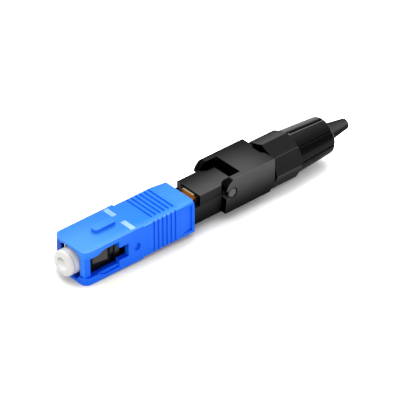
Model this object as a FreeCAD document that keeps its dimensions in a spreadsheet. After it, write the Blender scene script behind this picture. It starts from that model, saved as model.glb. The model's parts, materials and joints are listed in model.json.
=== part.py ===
# Field-installable SC fibre connector, modelled in millimetres.
# X runs along the ferrule axis from the mating face to the cable boot, Z is up (key side),
# and the origin is on that axis in the plane of the grip housing's front edge.
import FreeCAD, Part
import math
import os
import re

import Sketcher

# Driving dimensions in millimetres. Each one is written once, here, and the features read it.
SIZES = {
    # grip housing, the outer sleeve that is pushed and pulled
    "housing_length": 27.0,
    "housing_width": 9.25,
    "housing_height": 7.6,
    "front_block_length": 14.3,
    "nose_run": 1.45,
    "nose_radius": 1.5,
    "edge_round": 0.12,
    "grip_height": 7.1,
    "grip_top_radius": 0.45,
    "grip_bottom_radius": 0.2,
    "flare_height": 7.2,
    "flare_top_radius": 1.3,
    "flare_length": 3.2,
    "groove_count": 6,
    "groove_pitch": 1.055,
    "groove_width": 0.28,
    "groove_depth": 0.28,
    "groove_slope": 0.6,
    "groove_slope_drop": 0.1,
    "groove_near_end": 3.2,
    "first_top_groove": 17.68,
    "first_side_groove": 17.07,
    "mouth_depth": 1.6,
    "mouth_width": 5.5,
    "mouth_height": 6.2,
    "mouth_corner": 1.1,
    "mouth_lip_rear": 0.7,
    "column_inset": 0.5,
    "column_setback": 0.25,
    "window_front": 1.7,
    "window_lip_end": 3.2,
    "window_ramp_end": 4.75,
    "window_rear": 8.33,
    "window_lip_height": 4.32,
    "window_height": 5.7,
    "window_relief_depth": 0.35,
    "slot_rear": 10.6,
    "slot_height": 2.84,
    "key_front": 5.7,
    "key_rear": 10.55,
    "key_width": 1.68,
    "key_rise": 0.8,
    "key_front_radius": 0.7,
    "mark_front": 11.65,
    "mark_length": 1.15,
    "mark_depth": 0.15,
    "mark_inner_gap_near": 0.95,
    "mark_inner_gap_far": 1.4,
    "mark_outer_reach": 4.2,
    "dimple_from_front": 12.7,
    "dimple_drop": 0.3,
    "dimple_radius": 0.8,
    "dimple_depth": 0.28,
    "panel_length": 2.75,
    "panel_margin": 0.6,
    "panel_depth": 0.35,
    "panel_height": 5.6,
    "housing_travel": 0.9,
    # clearances
    "slide_gap": 0.1,
    "turn_gap": 0.05,
    "pivot_gap": 0.08,
    "thread_gap": 0.1,
    "seat_gap": 0.05,
    # plug frame inside the housing
    "frame_front": 1.7,
    "frame_length": 24.1,
    "frame_width": 6.7,
    "frame_height": 5.0,
    "frame_bevel": 0.6,
    "frame_wall": 0.45,
    "sleeve_bore_radius": 2.75,
    "sleeve_bore_depth": 7.5,
    "seat_wall": 0.8,
    "lug_front": 2.8,
    "lug_rear": 6.6,
    "lug_reach": 0.55,
    "lug_top": 2.1,
    "lug_bottom": 0.38,
    "lug_undercut": 1.3,
    "notch_length": 1.6,
    "notch_depth": 0.4,
    "side_window_front": 9.3,
    "side_window_length": 1.8,
    "side_window_height": 2.5,
    "latch_window_front": 21.4,
    "latch_window_length": 2.0,
    "latch_window_width": 3.0,
    # ferrule and what floats with it
    "ferrule_radius": 1.25,
    "ferrule_length": 11.0,
    "ferrule_chamfer": 0.4,
    "ferrule_bore_radius": 0.08,
    "fibre_radius": 0.0625,
    "fibre_length": 27.5,
    "holder_front": 8.75,
    "holder_nose_radius": 1.65,
    "holder_nose_clearance": 0.12,
    "holder_collar_radius": 1.95,
    "holder_collar_length": 1.3,
    "holder_stem_radius": 1.4,
    "holder_stem_length": 2.8,
    "spring_mean_radius": 1.74,
    "spring_wire_radius": 0.17,
    "spring_turns": 5.5,
    "stop_front": 18.0,
    "stop_thickness": 1.2,
    "stop_bore_radius": 1.4,
    "splice_stem_radius": 1.2,
    "splice_spigot_radius": 0.85,
    "splice_front": 20.2,
    "splice_rear": 7.4,
    "splice_width": 3.6,
    "splice_base_height": 1.3,
    "splice_lid_height": 1.2,
    "splice_channel": 0.15,
    "hump_front": 2.3,
    "hump_length": 3.3,
    "hump_width": 4.1,
    "hump_top": 2.32,
    "hump_chamfer": 0.55,
    "clip_front": 21.2,
    "clip_length": 5.6,
    "clip_sheet": 0.22,
    "clip_mouth": 2.2,
    # main body
    "body_width": 6.8,
    "body_bottom": 3.05,
    "body_wall_top": 0.75,
    "body_channel_width": 4.9,
    "body_floor": 1.2,
    "spigot_front": 19.25,
    "spigot_wall": 0.42,
    "catch_rise": 0.3,
    "pivot_station": 9.5,
    "pivot_height": 1.25,
    "pin_radius": 1.0,
    "pin_reach": 1.35,
    "pin_chamfer": 0.12,
    "cheek_front": 8.4,
    "cheek_rear": 11.5,
    "cheek_top": 2.1,
    "cheek_wall": 1.0,
    "guide_wall_front": 10.0,
    "deck_top": 0.9,
    "cable_groove_radius": 1.6,
    "bulkhead_front": 19.0,
    "bulkhead_rear": 20.1,
    "bulkhead_top": 2.85,
    "thread_radius": 3.1,
    "thread_rear": 30.0,
    "thread_depth": 0.25,
    "collet_slit": 0.6,
    "collet_slit_length": 4.5,
    "guide_radius": 1.2,
    "guide_front": 8.6,
    "guide_length": 3.0,
    "guide_mouth_radius": 0.9,
    "guide_bore_radius": 0.3,
    # sliding lock over the splice
    "lock_front": 2.45,
    "lock_side_rear": 7.9,
    "lock_rear": 11.0,
    "lock_top": 2.95,
    "lock_tongue_width": 4.4,
    "lock_shoulder_run": 1.7,
    "lock_shoulder_radius": 2.4,
    "lock_roof": 0.45,
    "lock_wall": 0.55,
    "lock_edge_round": 0.12,
    # cable clamp lever
    "lever_width": 9.66,
    "lever_top": 4.17,
    "lever_bottom": 2.85,
    "lever_rear": 20.35,
    "lever_web": 1.1,
    "lever_ear_front": 7.9,
    "lever_ear_top_front": 9.75,
    "lever_ear_radius": 2.75,
    "lever_foot_front": 7.65,
    "lever_web_front": 12.55,
    "lever_socket_mouth": 1.66,
    "lever_heel_rise": 1.2,
    "lever_heel_run": 1.25,
    "lever_notch_width": 3.6,
    "lever_notch_depth": 0.6,
    "lever_edge_bevel": 0.18,
    "pad_front": 13.4,
    "pad_length": 5.0,
    "pad_width": 2.6,
    "pad_bottom": 1.2,
    "tooth_count": 4,
    "tooth_height": 0.4,
    # clamping nut and cable boot
    "nut_front": 20.85,
    "hex_rear": 27.7,
    "nut_rear": 37.3,
    "nut_flats": 9.35,
    "nut_turned": 3.9,
    "nut_cone_front_radius": 4.59,
    "nut_cone_rear_radius": 3.98,
    "nut_front_chamfer": 0.15,
    "nut_rear_chamfer": 0.4,
    "nut_rear_round": 0.45,
    "flute_width": 0.6,
    "flute_setback": 0.45,
    "flute_depth": 0.38,
    "boot_chamber_front": 30.3,
    "boot_chamber_radius": 2.75,
    "nut_rear_wall": 3.2,
    "boot_stem_radius": 2.03,
    "boot_flange_radius": 2.6,
    "boot_flange_length": 2.2,
    "boot_tip_radius": 1.15,
    "boot_length": 6.35,
    "boot_tip_round": 0.4,
    "cable_bore_radius": 0.55,
    # dust cap
    "cap_front": 1.85,
    "cap_flange_setback": 0.85,
    "cap_stem_gap": 0.25,
    "cap_length": 9.0,
    "cap_edge_round": 0.55,
    "cap_dimple_radius": 1.4,
    "cap_dimple_depth": 0.5,
    "cap_fit_gap": 0.02,
}
# These stations are measured back from the housing's rear face, so that what follows the housing
# keeps its place behind it. The other stations are measured from the housing's front edge.
BEHIND_HOUSING = (
    "hump_front", "splice_rear", "pivot_station", "cheek_front", "cheek_rear", "guide_wall_front",
    "bulkhead_front", "bulkhead_rear", "thread_rear", "guide_front", "lock_front", "lock_side_rear",
    "lock_rear", "lever_rear", "lever_ear_front", "lever_ear_top_front", "lever_foot_front",
    "lever_web_front", "pad_front", "nut_front", "hex_rear", "nut_rear", "boot_chamber_front",
)
NUT_SIDES = 8

doc = FreeCAD.newDocument("FibreConnector")
sheet = doc.addObject("Spreadsheet::Sheet", "Sizes")
for row, (alias, value) in enumerate(SIZES.items(), start=1):
    sheet.set(f"A{row}", alias)
    sheet.set(f"B{row}", f"=housing_length + {value}" if alias in BEHIND_HOUSING else str(value))
    sheet.setAlias(f"B{row}", alias)
doc.recompute()


def bound(text):
    """The expression with each size's name pointed at its cell in the sheet."""
    return re.sub(r"[a-z_][a-z_0-9]*", lambda m: "Sizes." + m[0] if m[0] in SIZES else m[0], str(text))


def value_of(text):
    """The number that an expression in size names stands for."""
    return float(sheet.evalExpression(bound(text)))


def origin_feature(body, role):
    """One of a body's own origin planes or axes."""
    return next(f for f in body.Origin.OriginFeatures if f.Role == role)


def new_body(label):
    body = doc.addObject("PartDesign::Body", label)
    body.Label = label
    return body


def empty_sketch(body, label, plane, offset):
    """A sketch on one of the body's origin planes, moved along that plane's normal by offset."""
    sketch = body.newObject("Sketcher::SketchObject", f"{body.Name}_{label}")
    sketch.AttachmentSupport = (origin_feature(body, plane), [""])
    sketch.MapMode = "FlatFace"
    if offset is not None:
        sketch.setExpression("AttachmentOffset.Base.z", bound(offset))
    return sketch


def pin_point(sketch, geometry, end, x, y):
    """Hold one point of the sketch at the place that two expressions give."""
    for kind, text in (("DistanceX", x), ("DistanceY", y)):
        index = sketch.addConstraint(Sketcher.Constraint(kind, geometry, end, value_of(text)))
        sketch.renameConstraint(index, f"p{index}")
        if re.search("[a-z]", str(text)):
            sketch.setExpression(f"Constraints.p{index}", bound(text))


def arc_between(start, end, radius):
    """An arc from start to end; a positive radius bulges to the right of the way it runs."""
    half = (end - start) * 0.5
    rise = math.sqrt(max(radius ** 2 - half.Length ** 2, 0))
    left = FreeCAD.Vector(-half.y, half.x, 0).normalize()
    centre = start + half + left * (rise if radius > 0 else -rise)
    first, last = (start, end) if radius > 0 else (end, start)
    angles = [math.atan2(p.y - centre.y, p.x - centre.x) for p in (first, last)]
    circle = Part.Circle(centre, FreeCAD.Vector(0, 0, 1), abs(radius))
    return Part.ArcOfCircle(circle, angles[0], angles[1])


def draw_loop(sketch, corners):
    """A closed loop, anticlockwise. A third value on a corner makes the side that starts there
    an arc of that radius, outward when positive."""
    first = sketch.GeometryCount
    points = [FreeCAD.Vector(value_of(c[0]), value_of(c[1]), 0) for c in corners]
    ends = []
    for i, corner in enumerate(corners):
        start, end = points[i], points[(i + 1) % len(points)]
        if len(corner) == 3:
            radius = value_of(corner[2])
            sketch.addGeometry(arc_between(start, end, radius))
            ends.append((1, 2) if radius > 0 else (2, 1))
            index = sketch.addConstraint(Sketcher.Constraint("Radius", first + i, abs(radius)))
            sketch.renameConstraint(index, f"r{index}")
            sketch.setExpression(f"Constraints.r{index}", bound(f"abs({corner[2]})"))
        else:
            sketch.addGeometry(Part.LineSegment(start, end))
            ends.append((1, 2))
    for i, corner in enumerate(corners):
        after = (i + 1) % len(corners)
        sketch.addConstraint(Sketcher.Constraint("Coincident", first + i, ends[i][1], first + after,
                ends[after][0]))
        pin_point(sketch, first + i, ends[i][0], corner[0], corner[1])


def outline(body, label, plane, loops, offset=None):
    """A sketch that holds one or more closed loops of corners."""
    sketch = empty_sketch(body, label, plane, offset)
    for loop in loops:
        draw_loop(sketch, loop)
    return sketch


def disc(body, label, plane, x, y, radius, offset=None):
    """A sketch that holds one circle."""
    sketch = empty_sketch(body, label, plane, offset)
    centre = FreeCAD.Vector(value_of(x), value_of(y), 0)
    sketch.addGeometry(Part.Circle(centre, FreeCAD.Vector(0, 0, 1), value_of(radius)))
    pin_point(sketch, 0, 3, x, y)
    index = sketch.addConstraint(Sketcher.Constraint("Radius", 0, value_of(radius)))
    sketch.renameConstraint(index, "radius")
    sketch.setExpression("Constraints.radius", bound(radius))
    return sketch


def box_loop(x0, x1, y0, y1):
    """The four corners of an upright rectangle, anticlockwise."""
    return [(x0, y0), (x1, y0), (x1, y1), (x0, y1)]


def rounded_loop(half_width, half_height, low, high):
    """A rectangle about the axis with rounded corners, anticlockwise; low and high are their radii."""
    w, h = f"({half_width})", f"({half_height})"
    return [
        (f"-{w}+{low}", f"-{h}"), (f"{w}-{low}", f"-{h}", low),
        (w, f"-{h}+{low}"), (w, f"{h}-{high}", high),
        (f"{w}-{high}", h), (f"-{w}+{high}", h, high),
        (f"-{w}", f"{h}-{high}"), (f"-{w}", f"-{h}+{low}", low),
    ]


def mirrored(loop):
    """The loop on the other side of the X axis, still anticlockwise."""
    return [(x, f"-({y})") for x, y in reversed(loop)]


def extrude(body, label, kind, sketch, length, symmetric=False, backward=False):
    """A pad or a pocket. A pocket that removes nothing, or a pad that adds nothing, is an error."""
    before = 0 if body.Shape.isNull() else body.Shape.Volume
    feature = body.newObject(f"PartDesign::{kind}", f"{body.Name}_{label}")
    feature.Profile = sketch
    feature.setExpression("Length", bound(length))
    if symmetric:
        feature.SideType = "Symmetric"
    feature.Reversed = backward
    doc.recompute()
    change = feature.Shape.Volume - before
    if change * (1 if kind == "Pad" else -1) < 1e-6:
        raise RuntimeError(f"{feature.Name} changed the volume by {change}")
    return feature


def pad(body, label, sketch, length, **options):
    return extrude(body, label, "Pad", sketch, length, **options)


def pocket(body, label, sketch, length, **options):
    return extrude(body, label, "Pocket", sketch, length, **options)


def revolve(body, label, sketch, kind="Revolution"):
    """A full turn of the sketch about the connector's axis."""
    feature = body.newObject(f"PartDesign::{kind}", f"{body.Name}_{label}")
    feature.Profile = sketch
    feature.ReferenceAxis = (origin_feature(body, "X_Axis"), [""])
    feature.Angle = 360
    doc.recompute()
    return feature


def loft(body, label, sketches, kind="AdditiveLoft"):
    feature = body.newObject(f"PartDesign::{kind}", f"{body.Name}_{label}")
    feature.Profile = sketches[0]
    feature.Sections = sketches[1:]
    feature.Ruled = True
    doc.recompute()
    return feature


def dress(body, label, kind, base, chosen, size):
    """A fillet or chamfer on the edges of base that chosen(edge) picks."""
    names = [f"Edge{i}" for i, edge in enumerate(base.Shape.Edges, start=1) if chosen(edge)]
    if not names:
        raise RuntimeError(f"{body.Name}_{label} found no edges")
    feature = body.newObject(f"PartDesign::{kind}", f"{body.Name}_{label}")
    feature.Base = (base, names)
    feature.setExpression("Radius" if kind == "Fillet" else "Size", bound(size))
    doc.recompute()
    return feature


def polar(body, label, feature, count):
    """Copies of a feature all round the connector's axis."""
    pattern = body.newObject("PartDesign::PolarPattern", f"{body.Name}_{label}")
    pattern.Originals = [feature]
    pattern.Axis = (origin_feature(body, "X_Axis"), [""])
    pattern.Angle = 360
    pattern.Occurrences = count
    body.Tip = pattern
    doc.recompute()
    return pattern


def along_x(body, label, feature, pitch, count):
    """Copies of a feature at equal steps along the connector's axis."""
    pattern = body.newObject("PartDesign::LinearPattern", f"{body.Name}_{label}")
    pattern.Originals = [feature]
    pattern.Direction = (origin_feature(body, "X_Axis"), [""])
    pattern.setExpression("Length", bound(f"{pitch}*({count}-1)"))
    pattern.setExpression("Occurrences", bound(count))
    body.Tip = pattern
    doc.recompute()
    return pattern


def near(a, b, tolerance=1e-3):
    return abs(a - b) < tolerance


def make_outer_housing():
    """The blue grip sleeve: nose block with side windows and key, then the ribbed grip."""
    body = new_body("outer_housing")
    half = "housing_width/2"
    nose = "(housing_width/2-nose_radius+sqrt(nose_radius^2-nose_run^2))"
    plan = [
        ("0", f"-{nose}", "nose_radius"), ("nose_run", f"-{half}"), ("front_block_length", f"-{half}"),
        ("front_block_length", half), ("nose_run", half, "nose_radius"), ("0", nose),
    ]
    block_plan = outline(body, "block_plan", "XY_Plane", [plan])
    block = pad(body, "block", block_plan, "housing_height", symmetric=True)
    top = value_of("housing_height/2")
    rim = dress(body, "rim", "Fillet", block, lambda e: near(abs(e.CenterOfMass.z), top), "edge_round")

    grip = rounded_loop(half, "grip_height/2", "grip_bottom_radius", "grip_top_radius")
    pad(body, "grip", outline(body, "grip_section", "YZ_Plane", [grip], "front_block_length"),
        "housing_length-flare_length-front_block_length")
    flare_start = outline(body, "flare_start", "YZ_Plane", [grip], "housing_length-flare_length")
    flare = rounded_loop(half, "flare_height/2", "grip_bottom_radius", "flare_top_radius")
    flare_end = outline(body, "flare_end", "YZ_Plane", [flare], "housing_length")
    loft(body, "flare", [flare_start, flare_end])

    key_plan = box_loop("key_front", "key_rear", "-key_width/2", "key_width/2")
    key = pad(body, "key", outline(body, "key_plan", "XY_Plane", [key_plan], "housing_height/2"),
            "key_rise")
    key_top = value_of("housing_height/2+key_rise")
    key_front, key_side = value_of("key_front"), value_of("key_width/2")
    key = dress(body, "key_nose", "Fillet", key, lambda e: (
        near(e.CenterOfMass.x, key_front) and near(abs(e.CenterOfMass.y), key_side)
        and e.CenterOfMass.z > top), "key_front_radius")
    dress(body, "key_rim", "Fillet", key, lambda e: near(e.CenterOfMass.z, key_top), "edge_round")

    def rib_cut(wall, slope, face):
        """The outline of one groove and of the slope that leads into it, on both sides of the axis."""
        cut = [
            (f"{wall}-{slope}", face), (f"{wall}-groove_width", f"{face}-groove_slope_drop"),
            (f"{wall}-groove_width", f"{face}-groove_depth"), (wall, f"{face}-groove_depth"),
            (wall, "housing_width"), (f"{wall}-{slope}", "housing_width"),
        ]
        return [cut, mirrored(cut)]

    ribs = outline(body, "side_rib_plan", "XY_Plane", rib_cut("first_side_groove", "groove_pitch", half))
    groove = pocket(body, "side_groove", ribs, "2*housing_width", symmetric=True)
    along_x(body, "side_grooves", groove, "groove_pitch", "groove_count")
    top_ribs = rib_cut("first_top_groove", "groove_slope", "grip_height/2")
    ribs = outline(body, "top_rib_side", "XZ_Plane", top_ribs, "groove_near_end")
    groove = pocket(body, "top_groove", ribs, "groove_near_end+housing_width")
    along_x(body, "top_grooves", groove, "groove_pitch", "groove_count")

    side = "(frame_width/2+slide_gap)"
    inside = box_loop(f"-{side}", side, "-frame_height/2-slide_gap", "frame_height/2+slide_gap")
    sleeve = outline(body, "sleeve_section", "YZ_Plane", [inside], "mouth_lip_rear")
    pocket(body, "sleeve", sleeve, "housing_length", backward=True)
    mouth = rounded_loop("mouth_width/2", "mouth_height/2", "mouth_corner", "mouth_corner")
    pocket(body, "mouth", outline(body, "mouth_section", "YZ_Plane", [mouth]), "mouth_depth",
           backward=True)
    behind_lip = rounded_loop(side, "mouth_height/2", "mouth_corner", "mouth_corner")
    hollow = outline(body, "behind_lip_section", "YZ_Plane", [behind_lip], "mouth_lip_rear")
    pocket(body, "behind_lip", hollow, "mouth_depth-mouth_lip_rear", backward=True)

    window = [
        ("window_front", "-window_lip_height/2"), ("window_rear", "-window_lip_height/2"),
        ("window_rear", "-slot_height/2"), ("slot_rear", "-slot_height/2"),
        ("slot_rear", "slot_height/2"), ("window_rear", "slot_height/2"),
        ("window_rear", "window_height/2"), ("window_ramp_end", "window_height/2"),
        ("window_lip_end", "window_lip_height/2"), ("window_front", "window_lip_height/2"),
    ]
    windows = outline(body, "window_side", "XZ_Plane", [window])
    pocket(body, "windows", windows, "2*housing_width", symmetric=True)
    relief = [
        ("window_lip_end", "0"), ("window_lip_end", "-window_lip_height/2"),
        ("window_ramp_end", "-window_height/2"), ("window_rear", "-window_height/2"),
        ("window_rear", "0"),
    ]
    for name, offset, backward in (("near", half, False), ("far", f"-{half}", True)):
        step = outline(body, f"relief_{name}_side", "XZ_Plane", [relief], offset)
        pocket(body, f"relief_{name}", step, "window_relief_depth", backward=backward)
    column = [
        ("-nose_run", "mouth_width/2-mouth_corner"), ("column_setback", "mouth_width/2-mouth_corner"),
        ("column_setback", f"{half}-column_inset"), ("window_front", f"{half}-column_inset"),
        ("window_front", "housing_width"), ("-nose_run", "housing_width"),
    ]
    columns = outline(body, "column_plan", "XY_Plane", [column, mirrored(column)])
    pocket(body, "columns", columns, "window_lip_height", symmetric=True)

    mark_rear = "mark_front+mark_length"
    near_mark = box_loop("mark_front", mark_rear, "-mark_outer_reach", "-mark_inner_gap_near")
    far_mark = box_loop("mark_front", mark_rear, "mark_inner_gap_far", "mark_outer_reach")
    marks = outline(body, "mark_plan", "XY_Plane", [near_mark, far_mark], "housing_height/2")
    pocket(body, "mark_recess", marks, "mark_depth")

    for name, offset, backward in (("near", half, False), ("far", f"-{half}", True)):
        spot = disc(body, f"dimple_{name}_spot", "XZ_Plane", "dimple_from_front", "-dimple_drop",
                    "dimple_radius", offset)
        pocket(body, f"dimple_{name}", spot, "dimple_depth", backward=backward)

    rear = "(housing_length-panel_margin)"
    panel = [(f"{rear}-panel_length", half), (rear, f"{half}-panel_depth"),
             (rear, "housing_width"), (f"{rear}-panel_length", "housing_width")]
    panels = outline(body, "panel_plan", "XY_Plane", [panel, mirrored(panel)])
    pocket(body, "panels", panels, "panel_height", symmetric=True)
    return body


def make_index_mark(label, inner, outer):
    """White inlay in one of the two shallow recesses beside the key."""
    body = new_body(label)
    mark = box_loop("mark_front", "mark_front+mark_length", inner, outer)
    plan = outline(body, "plan", "XY_Plane", [mark], "housing_height/2-mark_depth")
    pad(body, "inlay", plan, "mark_depth")
    return body


def make_plug_frame():
    """The dark inner frame that the adapter's hooks grip, with its two side lugs."""
    body = new_body("plug_frame")
    w, h = "(frame_width/2)", "(frame_height/2)"
    section = [
        (f"-{w}+frame_bevel", f"-{h}"), (f"{w}-frame_bevel", f"-{h}"), (w, f"-{h}+2*frame_bevel"),
        (w, f"{h}-frame_bevel"), (f"{w}-frame_bevel", h), (f"-{w}+frame_bevel", h),
        (f"-{w}", f"{h}-frame_bevel"), (f"-{w}", f"-{h}+2*frame_bevel"),
    ]
    pad(body, "tube", outline(body, "section", "YZ_Plane", [section], "frame_front"), "frame_length")
    core = "(sleeve_bore_radius+slide_gap)"
    lug = [(core, "-lug_bottom-lug_undercut"), (f"{w}", "-lug_bottom-lug_undercut"),
           (f"{w}+lug_reach", "-lug_bottom"), (f"{w}+lug_reach", "lug_top"), (core, "lug_top")]
    lugs = outline(body, "lug_section", "YZ_Plane", [lug], "lug_front")
    pad(body, "lug_far", lugs, "lug_rear-lug_front")
    other = [(f"-({y})", z) for y, z in reversed(lug)]
    pad(body, "lug_near", outline(body, "lug_near_section", "YZ_Plane", [other], "lug_front"),
            "lug_rear-lug_front")
    ramp = [("lug_front-slide_gap", w), ("lug_rear-slide_gap", f"{w}+lug_reach"),
            ("lug_rear-slide_gap", "housing_width"),
            ("lug_front-slide_gap", "housing_width")]
    pocket(body, "ramps", outline(body, "ramp_plan", "XY_Plane", [ramp, mirrored(ramp)]),
            "housing_height", symmetric=True)
    notch = box_loop("lug_rear", "lug_rear+notch_length", f"{w}-notch_depth", "housing_width")
    pocket(body, "notches", outline(body, "notch_plan", "XY_Plane", [notch, mirrored(notch)]),
            "frame_height*2",
           symmetric=True)

    bore = disc(body, "sleeve_circle", "YZ_Plane", "0", "0", "sleeve_bore_radius", "frame_front")
    pocket(body, "sleeve_bore", bore, "sleeve_bore_depth", backward=True)
    seat = disc(body, "seat_circle", "YZ_Plane", "0", "0",
            "holder_nose_radius+holder_nose_clearance", "frame_front")
    pocket(body, "seat_hole", seat, "sleeve_bore_depth+seat_wall", backward=True)
    cavity = box_loop(f"-{w}+frame_wall", f"{w}-frame_wall", f"-{h}+frame_wall", f"{h}-frame_wall")
    start = "frame_front+sleeve_bore_depth+seat_wall"
    pocket(body, "cavity", outline(body, "cavity_section", "YZ_Plane", [cavity], start),
           "frame_length-sleeve_bore_depth-seat_wall", backward=True)
    opening = box_loop("side_window_front", "side_window_front+side_window_length",
            f"{w}-frame_wall-seat_gap",
                       "housing_width")
    pocket(body, "side_windows", outline(body, "side_window_plan", "XY_Plane", [opening,
            mirrored(opening)]),
           "side_window_height", symmetric=True)
    latch = box_loop("latch_window_front", "latch_window_front+latch_window_length",
                     "-latch_window_width/2", "latch_window_width/2")
    pocket(body, "latch_windows", outline(body, "latch_plan", "XY_Plane", [latch]),
            "frame_height*2", symmetric=True)
    return body


def make_ferrule():
    """Ceramic ferrule with its chamfered tip and the funnel for the fibre at the rear."""
    body = new_body("ferrule")
    profile = [
        ("-ferrule_chamfer", "ferrule_bore_radius"), ("ferrule_length-ferrule_chamfer-1",
            "ferrule_bore_radius"),
        ("ferrule_length-ferrule_chamfer", "ferrule_radius/2"), ("ferrule_length-ferrule_chamfer",
            "ferrule_radius"),
        ("0", "ferrule_radius"), ("-ferrule_chamfer", "ferrule_radius-ferrule_chamfer/2"),
    ]
    revolve(body, "turned", outline(body, "profile", "XZ_Plane", [profile]))
    return body


def make_ferrule_holder():
    """Metal flange that the ferrule is pressed into; its collar seats on the frame's inner wall."""
    body = new_body("ferrule_holder")
    collar = "(frame_front+sleeve_bore_depth+seat_wall+seat_gap)"
    stem = f"({collar}+holder_collar_length)"
    profile = [
        ("holder_front", "ferrule_radius"), ("ferrule_length-ferrule_chamfer", "ferrule_radius"),
        ("ferrule_length-ferrule_chamfer", "splice_spigot_radius"),
        (f"{stem}+holder_stem_length", "splice_spigot_radius"), (f"{stem}+holder_stem_length",
            "holder_stem_radius"),
        (stem, "holder_stem_radius"), (stem, "holder_collar_radius"), (collar, "holder_collar_radius"),
        (collar, "holder_nose_radius"), ("holder_front", "holder_nose_radius"),
    ]
    revolve(body, "turned", outline(body, "profile", "XZ_Plane", [profile]))
    return body


def make_ferrule_spring():
    """Coil spring between the holder's collar and the stop ring, with its ends inside the two seats."""
    wire = value_of("spring_wire_radius")
    mean = value_of("spring_mean_radius")
    turns = value_of("spring_turns")
    start = value_of("frame_front+sleeve_bore_depth+seat_wall+2*seat_gap+holder_collar_length") + wire
    end = value_of("stop_front-seat_gap") - wire
    helix = Part.makeHelix((end - start) / turns, end - start, mean)
    circle = Part.Circle(FreeCAD.Vector(mean, 0, 0), FreeCAD.Vector(0, 1, 0), wire)
    section = Part.Wire([circle.toShape()])
    coil = Part.Wire(helix.Edges).makePipeShell([section], True, True)
    spring = doc.addObject("Part::Feature", "ferrule_spring")
    spring.Label = "ferrule_spring"
    spring.Shape = coil
    spring.Placement = FreeCAD.Placement(FreeCAD.Vector(start, 0, 0),
            FreeCAD.Rotation(FreeCAD.Vector(0, 1, 0), 90))
    return spring


def make_spring_stop():
    """Ring that closes the frame's cavity behind the spring."""
    body = new_body("spring_stop")
    w, h = "(frame_width/2-frame_wall-seat_gap)", "(frame_height/2-frame_wall-seat_gap)"
    plate = outline(body, "plate_section", "YZ_Plane", [box_loop(f"-{w}", w, f"-{h}", h)], "stop_front")
    pad(body, "plate", plate, "stop_thickness")
    hole = disc(body, "hole_circle", "YZ_Plane", "0", "0", "stop_bore_radius", "stop_front")
    pocket(body, "hole", hole, "stop_thickness", backward=True)
    return body


def make_fibre_stub():
    """The short fibre that is glued into the ferrule and ends in the splice."""
    stub = doc.addObject("Part::Cylinder", "fibre_stub")
    stub.Label = "fibre_stub"
    stub.setExpression("Radius", bound("fibre_radius"))
    stub.setExpression("Height", bound("fibre_length"))
    stub.Placement.Rotation = FreeCAD.Rotation(FreeCAD.Vector(0, 1, 0), 90)
    stub.setExpression("Placement.Base.x", bound("-ferrule_chamfer"))
    return stub


def make_splice_base():
    """Amber splice base: round stem through the spring, then the grooved lower half."""
    body = new_body("splice_base")
    holder_end = ("(frame_front+sleeve_bore_depth+seat_wall+seat_gap"
                  "+holder_collar_length+holder_stem_length)")
    stem = [
        ("ferrule_length", "splice_channel"), ("splice_front", "splice_channel"), ("splice_front",
            "splice_stem_radius"),
        (f"{holder_end}+seat_gap", "splice_stem_radius"), (f"{holder_end}+seat_gap",
            "splice_spigot_radius"),
        ("ferrule_length", "splice_spigot_radius"),
    ]
    revolve(body, "stem", outline(body, "stem_profile", "XZ_Plane", [stem]))
    lower = box_loop("-splice_width/2", "splice_width/2", "-splice_base_height", "0")
    pad(body, "block", outline(body, "block_section", "YZ_Plane", [lower], "splice_front"),
            "splice_rear-splice_front")
    groove = [("-splice_channel", "splice_channel"), ("0", "-splice_channel"), ("splice_channel",
            "splice_channel")]
    pocket(body, "groove", outline(body, "groove_section", "YZ_Plane", [groove], "splice_front"),
           "splice_rear-splice_front", backward=True)
    return body


def make_splice_lid():
    """Amber upper half; its raised rear shows under the lock's open front."""
    body = new_body("splice_lid")
    upper = box_loop("-splice_width/2", "splice_width/2", "0", "splice_lid_height")
    pad(body, "plate", outline(body, "plate_section", "YZ_Plane", [upper], "splice_front"),
        "splice_rear-splice_front")
    w, t, c = "(hump_width/2)", "hump_top", "hump_chamfer"
    hump = [(f"-{w}", "body_wall_top/2"), (w, "body_wall_top/2"), (w, f"{t}-{c}"), (f"{w}-{c}", t),
            (f"-{w}+{c}", t), (f"-{w}", f"{t}-{c}")]
    pad(body, "hump", outline(body, "hump_section", "YZ_Plane", [hump], "hump_front"), "hump_length")
    channel = box_loop("-splice_channel", "splice_channel", "-splice_channel", "splice_channel/2")
    pocket(body, "channel", outline(body, "channel_section", "YZ_Plane", [channel], "splice_front"),
           "splice_rear-splice_front", backward=True)
    return body


def make_splice_clip():
    """Spring-steel clip that squeezes the two splice halves together."""
    body = new_body("splice_clip")
    w = "(splice_width/2)"
    low, high = "(splice_base_height)", "(splice_lid_height)"
    outer = [
        (f"-{w}-clip_sheet", f"-{low}-clip_sheet"), ("-clip_mouth/2", f"-{low}-clip_sheet"),
        ("-clip_mouth/2", f"-{low}"), (f"-{w}", f"-{low}"), (f"-{w}", high), (w, high), (w, f"-{low}"),
        ("clip_mouth/2", f"-{low}"), ("clip_mouth/2", f"-{low}-clip_sheet"),
        (f"{w}+clip_sheet", f"-{low}-clip_sheet"), (f"{w}+clip_sheet", f"{high}+clip_sheet"),
        (f"-{w}-clip_sheet", f"{high}+clip_sheet"),
    ]
    pad(body, "sheet", outline(body, "section", "YZ_Plane", [outer], "clip_front"), "clip_length")
    return body


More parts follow.
